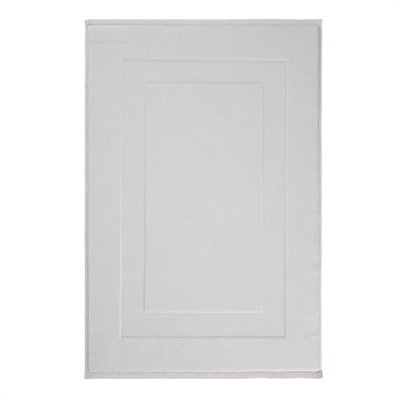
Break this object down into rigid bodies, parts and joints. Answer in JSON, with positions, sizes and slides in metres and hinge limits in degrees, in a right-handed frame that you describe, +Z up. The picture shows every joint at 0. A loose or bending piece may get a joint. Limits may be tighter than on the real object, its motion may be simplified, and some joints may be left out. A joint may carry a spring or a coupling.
{
  "type": "bath mat",
  "caption": "Rectangular white cotton terry bath mat, lying flat, with a flat-woven frame band round a raised centre panel and folded, stitched hems.",
  "frame": {"origin": "on the floor under the middle of the mat: the centre of the bounding box's bottom face", "axes": "+X across the mat towards its right side hem, +Y along the mat towards its head end hem, +Z up out of the face pile"},
  "size_m": [0.5034, 0.76, 0.007],
  "materials": {
    "terry": "matt white cotton terry loops",
    "flat_weave": "matt white flat cross-hatched cotton weave",
    "hem": "matt white ribbed flat-woven cotton, folded",
    "sewing_thread": "soft-lustre white sewing thread",
    "label_tape": "smooth blank white woven polyester tape"
  },
  "bodies": {
    "root": {"ground_cloth": "flat_weave", "border_pile_upper": "terry", "border_pile_under": "terry", "centre_pile_upper": "terry", "centre_pile_under": "terry", "frame_band_upper": "flat_weave", "frame_band_under": "flat_weave", "corner_label": "label_tape", "head_end_hem": "hem", "head_end_needle_thread": "sewing_thread", "head_end_bobbin_thread": "sewing_thread", "foot_end_hem": "hem", "foot_end_needle_thread": "sewing_thread", "foot_end_bobbin_thread": "sewing_thread", "left_side_hem": "hem", "left_side_needle_thread": "sewing_thread", "left_side_bobbin_thread": "sewing_thread", "right_side_hem": "hem", "right_side_needle_thread": "sewing_thread", "right_side_bobbin_thread": "sewing_thread"}
  },
  "joints": []
}
